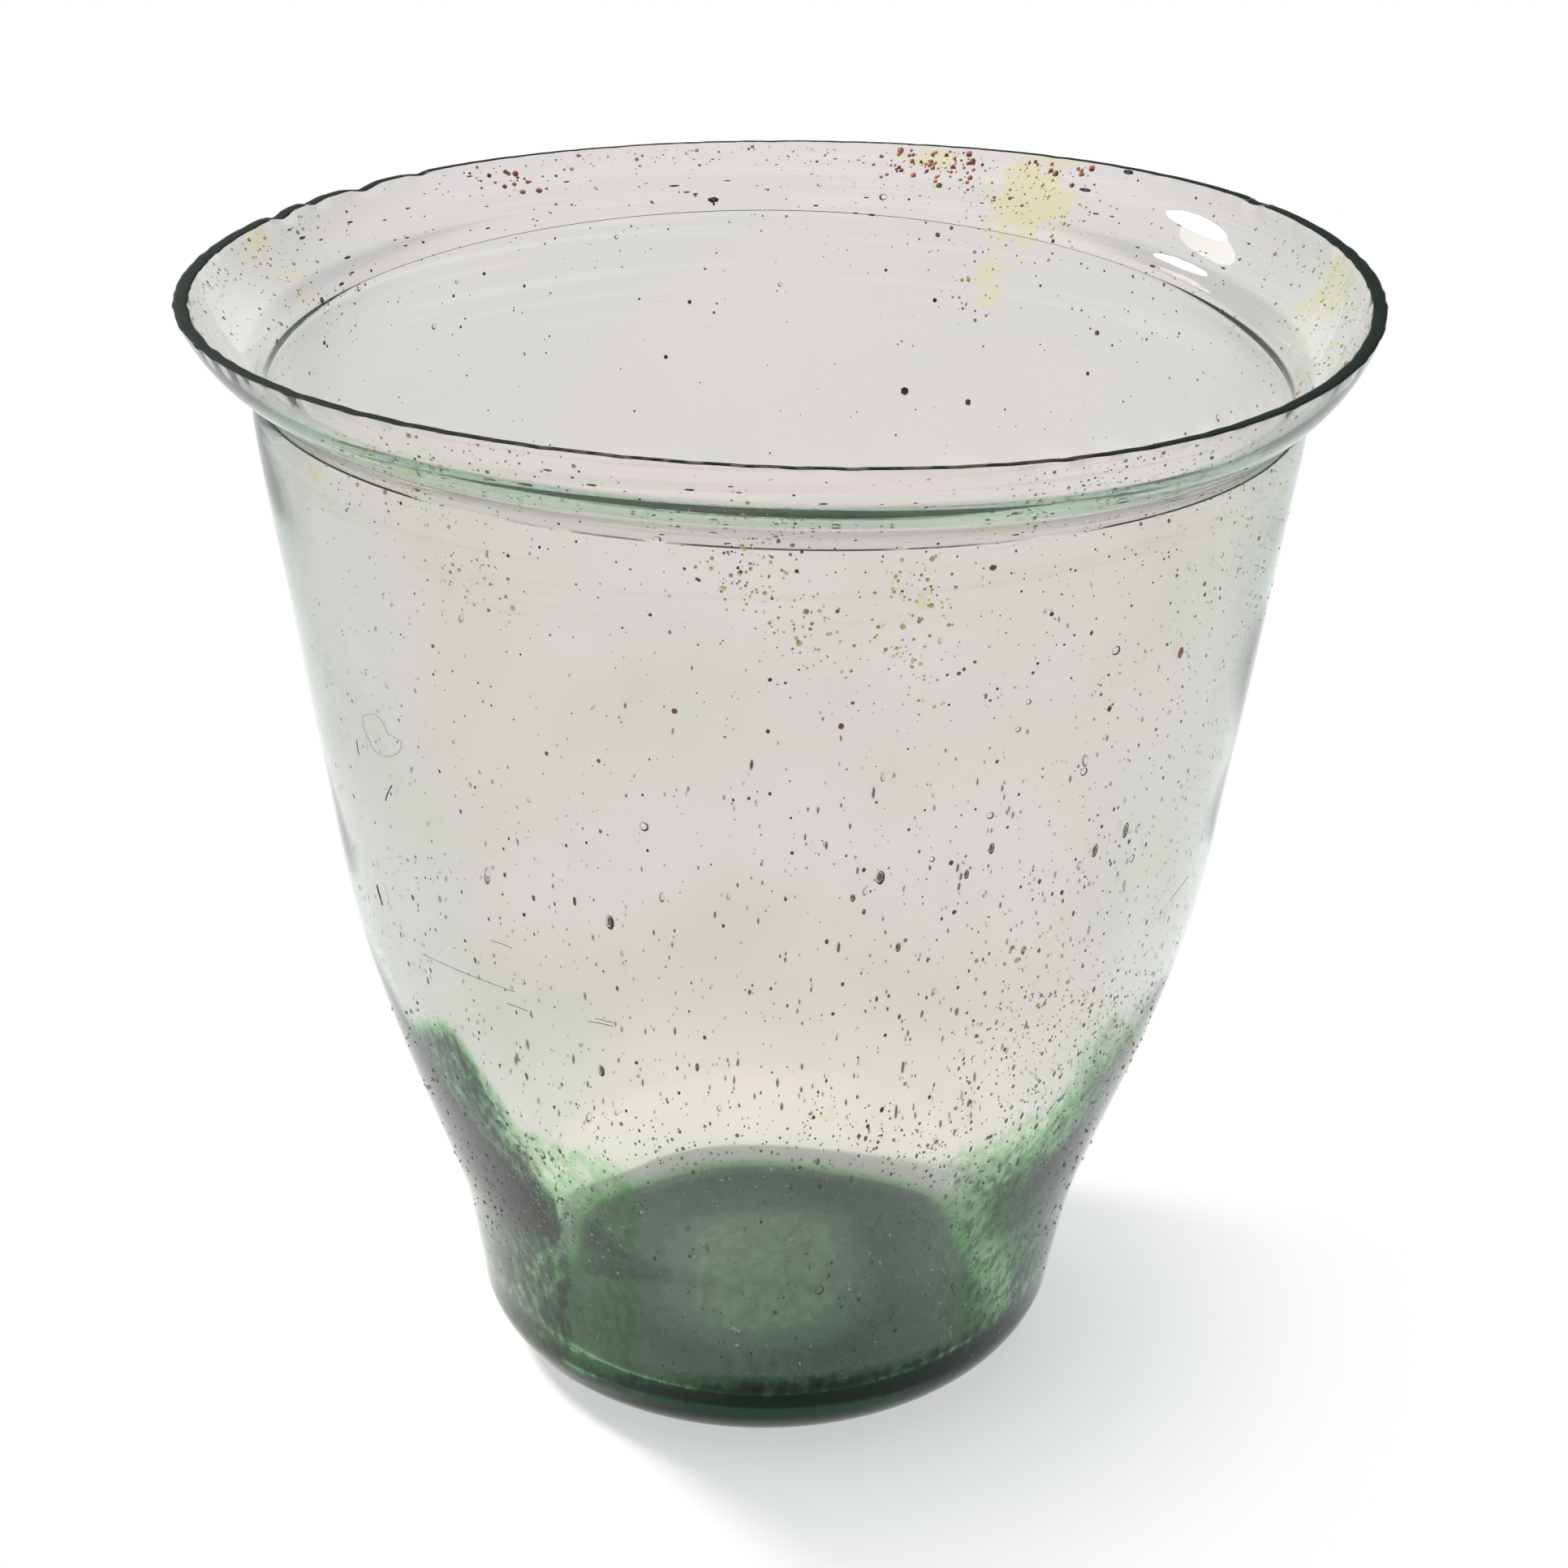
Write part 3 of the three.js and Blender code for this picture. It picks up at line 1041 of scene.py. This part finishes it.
# %% Seeds and bubbles
TRY_COUNT = 40000
SEED_COUNT = 2100
GREY_SEED_COUNT = 3500
BUBBLE_COUNT = 130
RIGHT_ANGLE = math.radians(-28)
LEFT_ANGLE = math.radians(-160)
DENSE_HEIGHT = 40 * MM
DENSE_SPREAD = 13 * MM
CREASE_SPREAD = 7 * MM
# how much each part adds: everywhere, right, left, low on the body, under the crease and at the bottom
DENSITY_SHARES = (0.05, 0.5, 0.2, 0.16, 0.25, 0.55)
# how narrowly the seeds crowd to the right, to the left and to the bottom
RIGHT_FOCUS = 4
LEFT_FOCUS = 6
BOTTOM_FOCUS = 1.5
FLOOR_MARGIN = 2 * MM
RIM_MARGIN = 1 * MM
SEED_DEPTHS = (0.15, 0.85)
DRAWN_BELOW = 95 * MM
FULLY_DRAWN_BELOW = 35 * MM
DRAWN_LEAST = 0.3
SIZE_SPREAD = 0.45
FLATNESS = 0.6
# least, typical and most half width, and how many times as long the lowest are drawn
SEED_SIZES = (0.06 * MM, 0.09 * MM, 0.26 * MM, 2.4)
GREY_SIZES = (0.06 * MM, 0.095 * MM, 0.22 * MM, 3.6)
BUBBLE_SIZES = (0.13 * MM, 0.21 * MM, 0.42 * MM, 2)


# %% Where the seeds are dense
def density(angle, height):
    """How many small things the glass has at a place, as a share of the most."""
    right = ((1 + np.cos(angle - RIGHT_ANGLE)) / 2) ** RIGHT_FOCUS
    left = ((1 + np.cos(angle - LEFT_ANGLE)) / 2) ** LEFT_FOCUS
    low_band = bump(height - DENSE_HEIGHT, DENSE_SPREAD)
    crease_band = bump(height - CREASE_HEIGHT, CREASE_SPREAD)
    bottom = share_between(height, DENSE_HEIGHT, 0) ** BOTTOM_FOCUS
    return sum(
        share * part for share, part in zip(DENSITY_SHARES, (1, right, left, low_band, crease_band, bottom))
    )


def pick_places(count):
    """Random angles, heights and depths, picked by the density."""
    angle = hand.uniform(-math.pi, math.pi, TRY_COUNT)
    height = hand.uniform(FLOOR_THICKNESS + FLOOR_MARGIN, RIM_HEIGHT - RIM_MARGIN, TRY_COUNT)
    chance = side_radius(outer_line, height) / RIM_RADIUS * density(angle, height)
    keep = np.nonzero(hand.uniform(0, 1, TRY_COUNT) < chance)[0][:count]
    return angle[keep], height[keep], hand.uniform(*SEED_DEPTHS, len(keep))


# %% Sizes of the seeds
def random_sizes(count, spread, least, typical, most):
    """Sizes about a typical one; smaller ones are commoner."""
    return np.clip(typical * np.exp(spread * hand.normal(size=count)), least, most)


def drawn_sizes(height, least, typical, most, pull):
    """Sizes of grains, of which the low ones are drawn out upwards."""
    size = random_sizes(len(height), SIZE_SPREAD, least, typical, most)
    low = share_between(height, DRAWN_BELOW, FULLY_DRAWN_BELOW)
    stretch = 1 + (pull - 1) * low * hand.uniform(DRAWN_LEAST, 1, len(height))
    return np.stack([size, size * stretch, FLATNESS * size], 1)


def scatter(name, shape, count, sizes, stuff):
    """Copies a shape all over the glass by the density."""
    wall_places = pick_places(count)
    copy_in_wall(name, shape, wall_places, drawn_sizes(wall_places[1], *sizes), stuff)


scatter("seeds", grain_shape, SEED_COUNT, SEED_SIZES, seed_dark)
scatter("grey_seeds", grain_shape, GREY_SEED_COUNT, GREY_SIZES, seed_grey)
scatter("bubble_outlines", crescent_shape, BUBBLE_COUNT, BUBBLE_SIZES, seed_dark)


# %% [markdown]
# In the flare the bubbles were rolled level, so they are short dark dashes along the girth, their dark
# painted shade. None stands out, so they are strewn evenly.

# %% Dashes in the flare
DASH_COUNT = 170
DASHES_BELOW_CREASE = 1 * MM
DASHES_BELOW_RIM = 1.5 * MM
DASH_DEPTHS = (0.3, 0.7)
DASH_LENGTHS = (0.15 * MM, 0.28 * MM, 0.9 * MM)
DASH_SPREAD = 0.5
DASH_WIDTH_SHARE = 0.3
DASH_THICKNESS = 0.08 * MM
dash_angle = hand.uniform(-math.pi, math.pi, DASH_COUNT)
dash_height = hand.uniform(CREASE_HEIGHT - DASHES_BELOW_CREASE, RIM_HEIGHT - DASHES_BELOW_RIM, DASH_COUNT)
dash_depth = hand.uniform(*DASH_DEPTHS, DASH_COUNT)
dash_length = random_sizes(DASH_COUNT, DASH_SPREAD, *DASH_LENGTHS)
dash_width = np.clip(DASH_WIDTH_SHARE * dash_length, DASH_THICKNESS, None)
dash_sizes = np.stack([dash_length, dash_width, np.full(DASH_COUNT, DASH_THICKNESS)], 1)
copy_in_wall("flare_dashes", grain_shape, (dash_angle, dash_height, dash_depth), dash_sizes, seed_dark)


# %% [markdown]
# The larger marks can be told apart in the photo. Random ones would look wrong, so each has its own pixel.

# %% Marks placed one by one
# photo pixel, wall, and half width and half height in mm
BROWN_SPECKS = (
    (830, 875, NEAR, 0.32, 0.32),
    (1037, 893, NEAR, 0.32, 0.36),
    (946, 900, NEAR, 0.22, 0.26),
    (1183, 823, NEAR, 0.24, 0.24),
    (1189, 817, NEAR, 0.2, 0.24),
    (1457, 797, NEAR, 0.45, 0.7),
    (706, 1112, NEAR, 0.2, 0.6),
    (644, 1128, NEAR, 0.22, 0.25),
    (1370, 870, NEAR, 0.3, 0.4),
    (797, 1049, NEAR, 0.16, 0.2),
    (1065, 1073, NEAR, 0.22, 0.3),
    (653, 1427, NEAR, 0.25, 0.3),
    (1226, 680, NEAR, 0.4, 0.3),
    (1347, 768, NEAR, 0.2, 0.3),
    (531, 795, NEAR, 0.22, 0.22),
    (800, 752, NEAR, 0.2, 0.2),
    (1113, 487, FAR, 0.55, 0.55),
    (1190, 500, FAR, 0.4, 0.45),
    (1348, 413, FAR, 0.36, 0.36),
    (851, 385, FAR, 0.28, 0.28),
    (1336, 463, FAR, 0.28, 0.3),
    (822, 448, FAR, 0.28, 0.3),
    (401, 378, FAR, 0.4, 0.4),
    (404, 428, FAR, 0.3, 0.3),
)
DARK_DASHES = ((880, 272, FAR, 0.75, 0.35), (1385, 218, FAR, 0.8, 0.3), (1150, 380, FAR, 0.3, 0.3))
TAN_OVALS = (
    (750, 1137, NEAR, 0.42, 0.85),
    (1085, 1082, NEAR, 0.42, 0.8),
    (1389, 1023, NEAR, 0.4, 0.9),
    (1351, 1048, NEAR, 0.35, 0.8),
    (1223, 1046, NEAR, 0.3, 0.65),
    (1192, 1078, NEAR, 0.26, 0.55),
    (1051, 1108, NEAR, 0.26, 0.45),
    (1107, 1168, NEAR, 0.26, 0.55),
    (739, 1320, NEAR, 0.35, 0.75),
    (1180, 1247, NEAR, 0.22, 0.5),
)
MARK_DEPTH = 0.5
FRONT_DEPTH = 0.4
MARK_FLATNESS = 0.7
FILL_SHARE = 0.72
OUTLINE_SHARE = 0.85


def place_marks(name, shape, marks, mark_depth, stuff, size_share=1):
    """Copies a shape to marks that are given by photo pixel, wall, half width and half height."""
    found = [photo_to_wall((x, y), wall) for x, y, wall, *_ in marks]
    angle, height = np.array(found)[:, :, 0].T
    half_sizes = np.array([mark[3:] for mark in marks]) * MM * size_share
    sizes = np.column_stack([half_sizes, MARK_FLATNESS * half_sizes.min(1)])
    copy_in_wall(name, shape, (angle, height, np.full(len(marks), mark_depth)), sizes, stuff)


place_marks("brown_specks", grain_shape, BROWN_SPECKS, FRONT_DEPTH, rust_brown)
# dark dashes of rolled bubbles: painted shade
place_marks("dark_dashes", grain_shape, DARK_DASHES, MARK_DEPTH, seed_dark)
place_marks("tan_ovals", grain_shape, TAN_OVALS, MARK_DEPTH, tan_fill, FILL_SHARE)
# the tan bubbles' dark outlines: painted shade
place_marks("tan_oval_outlines", crescent_shape, TAN_OVALS, FRONT_DEPTH, seed_dark, OUTLINE_SHARE)


# %% [markdown]
# Grains of ochre and rust-brown earth cling to the skin in trails and patches. A stain alone looks smooth, so
# real grains are strewn about trails, which are lines of photo pixels.

# %% Clinging earth
# wall, spread in pixels, number of grains and the trail's photo pixels
OCHRE_TRAILS = (
    (NEAR, 26, 130, (880, 660), (950, 735), (1040, 800)),
    (NEAR, 16, 60, (1100, 760), (1115, 810), (1150, 870)),
    (NEAR, 18, 50, (1110, 690), (1150, 730)),
    (NEAR, 20, 80, (410, 545), (560, 610)),
    (NEAR, 22, 40, (560, 690), (600, 730)),
    (NEAR, 30, 90, (1250, 1190), (1390, 1300)),
    (NEAR, 22, 60, (1560, 590), (1560, 800)),
    (FAR, 30, 170, (1180, 230), (1330, 270)),
    (FAR, 30, 35, (1200, 290), (1170, 420)),
    (FAR, 16, 130, (650, 200), (830, 190), (1060, 200)),
    (FAR, 26, 190, (1590, 290), (1670, 380), (1640, 470)),
    (FAR, 26, 130, (250, 370), (310, 310), (390, 250)),
    (FAR, 30, 60, (330, 330), (400, 380)),
)
RUST_TRAILS = (
    (FAR, 17, 110, (1090, 200), (1200, 210)),
    (FAR, 10, 30, (1260, 205), (1350, 225)),
    (FAR, 16, 30, (590, 215), (690, 240)),
    (FAR, 34, 10, (1180, 280), (1260, 330)),
)
# grey grains along the dark lower sides, the crease and the base's edge: painted shade
GREY_TRAILS = (
    (NEAR, 16, 60, (890, 650), (1000, 640)),
    (NEAR, 26, 380, (500, 1250), (560, 1400), (640, 1540)),
    (NEAR, 34, 240, (640, 1400), (700, 1540)),
    (NEAR, 26, 420, (1420, 1200), (1330, 1400), (1290, 1560)),
    (NEAR, 40, 260, (1200, 1420), (1220, 1600)),
    (NEAR, 44, 200, (1290, 1230), (1240, 1400)),
    (NEAR, 26, 260, (740, 1420), (1160, 1410)),
    (NEAR, 26, 160, (380, 470), (700, 600)),
    (NEAR, 26, 200, (1250, 610), (1560, 500)),
)
GRAIN_MARGIN = 0.5 * MM
OCHRE_SIZES = (0.07 * MM, 0.12 * MM, 0.3 * MM, 1.6)
RUST_SIZES = (0.1 * MM, 0.19 * MM, 0.45 * MM, 1.2)
GREY_GRAIN_SIZES = (0.06 * MM, 0.1 * MM, 0.24 * MM, 1.8)


def strew(wall, spread, count, *corners):
    """Random angles, heights and depths of the grains of one trail."""
    corners = np.array(corners, float)
    along = hand.uniform(0, len(corners) - 1, count)
    pixels = np.stack([np.interp(along, range(len(corners)), part) for part in corners.T], 1)
    pixels += spread * hand.normal(size=pixels.shape)
    angle, height = photo_to_wall(pixels, wall)
    return np.stack([angle, height, np.full(len(angle), float(wall))])


def strew_grains(name, trails, sizes, stuff):
    """Makes the grains of trails as one piece."""
    grains = np.hstack([strew(*trail) for trail in trails])
    height = grains[1]
    grains = grains[:, (height > FLOOR_THICKNESS + GRAIN_MARGIN) & (height < RIM_HEIGHT - GRAIN_MARGIN)]
    copy_in_wall(name, grain_shape, grains, drawn_sizes(grains[1], *sizes), stuff)


strew_grains("ochre_grains", OCHRE_TRAILS, OCHRE_SIZES, ochre_earth)
strew_grains("rust_grains", RUST_TRAILS, RUST_SIZES, rust_brown)
strew_grains("grey_grains", GREY_TRAILS, GREY_GRAIN_SIZES, seed_grey)


# %% [markdown]
# Pale bubbles sit under the surface of the floor against the dark base; their paleness is a painted
# highlight. The floor wasn't pulled, so plain round grains will do.

# %% Bubbles in the floor
FLOOR_BUBBLE_COUNT = 150
FLOOR_BUBBLE_SIZES = (0.08 * MM, 0.15 * MM, 0.42 * MM)
BUBBLE_SPREAD = 0.5
BUBBLED_SHARE = 0.95
SUNK_SHARE = 0.4
bubble_radius = FLOOR_RADIUS * BUBBLED_SHARE * np.sqrt(hand.uniform(0, 1, FLOOR_BUBBLE_COUNT))
bubble_angle = hand.uniform(-math.pi, math.pi, FLOOR_BUBBLE_COUNT)
floor_height = FLOOR_THICKNESS + KICK_HEIGHT * (1 - bubble_radius / FLOOR_RADIUS)
bubble_sizes = random_sizes(FLOOR_BUBBLE_COUNT, BUBBLE_SPREAD, *FLOOR_BUBBLE_SIZES)
bubble_places = turned(bubble_radius, bubble_angle, floor_height - SUNK_SHARE * bubble_sizes)
bubble_places = hand_blown(bubble_places, np.ones(FLOOR_BUBBLE_COUNT))
level_axes = [np.tile(axis, (FLOOR_BUBBLE_COUNT, 1)) for axis in np.eye(3)]
bubble_sizes = np.stack([bubble_sizes] * 3, 1)
copy_shape("floor_bubbles", grain_shape, bubble_places, level_axes, bubble_sizes, pale_bubble)


# %% [markdown]
# Scratches and short strokes are thin dark lines on the outside, and the flaked patch is the outline of a
# lost flake of weathering. Bump alone hardly shows on clear glass, so each is a curve through photo pixels.

# %% Scratches, strokes and the flaked patch
# radius in mm and photo pixels
SCRATCHES = (
    (0.035, (520, 1175), (575, 1199), (635, 1222)),
    (0.035, (605, 1158), (632, 1168)),
    (0.04, (625, 1236), (650, 1245)),
    (0.04, (725, 1258), (755, 1264)),
    (0.035, (733, 1254), (757, 1260)),
    (0.09, (483, 968), (479, 976), (476, 986)),
    (0.11, (465, 1090), (468, 1103), (472, 1115)),
    (0.07, (440, 913), (443, 930)),
    (0.07, (436, 978), (438, 984)),
    (0.035, (1440, 1110), (1463, 1080)),
)
FLAKE_OUTLINE = (
    (446, 882), (462, 880), (473, 893), (478, 905), (494, 914), (490, 928),
    (475, 932), (462, 925), (455, 912), (449, 900), (446, 882),
)
FLAKE_LINE = 0.035
LINE_STEPS = 2


def draw_lines(name, lines, stuff):
    """Draws lines on the near wall, given by photo pixels and radius in mm, and makes them one piece."""
    material, slot = stuff
    curve = bpy.data.curves.new(name, "CURVE")
    curve.dimensions = "3D"
    curve.bevel_depth = MM
    curve.bevel_resolution = 0
    curve.use_fill_caps = True
    for radius, *pixels in lines:
        angle, height = photo_to_wall(smooth_curve(pixels, LINE_STEPS), NEAR)
        places = glass_place(angle, height, np.zeros(len(angle)))
        spline = curve.splines.new("POLY")
        spline.points.add(len(places) - 1)
        for point, place in zip(spline.points, places):
            point.co = (*place, 1)
            point.radius = radius
    piece = bpy.data.objects.new(name, curve)
    scene.collection.objects.link(piece)
    bpy.ops.object.select_all(action="DESELECT")
    bpy.context.view_layer.objects.active = piece
    piece.select_set(True)
    bpy.ops.object.convert(target="MESH")
    piece = bpy.context.object
    piece.data.materials.append(material)
    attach(piece, "root")
    print(name, len(piece.data.polygons), "faces")


draw_lines("scratches", SCRATCHES, seed_dark)
draw_lines("flaked_patch", ((FLAKE_LINE, *FLAKE_OUTLINE),), seed_grey)
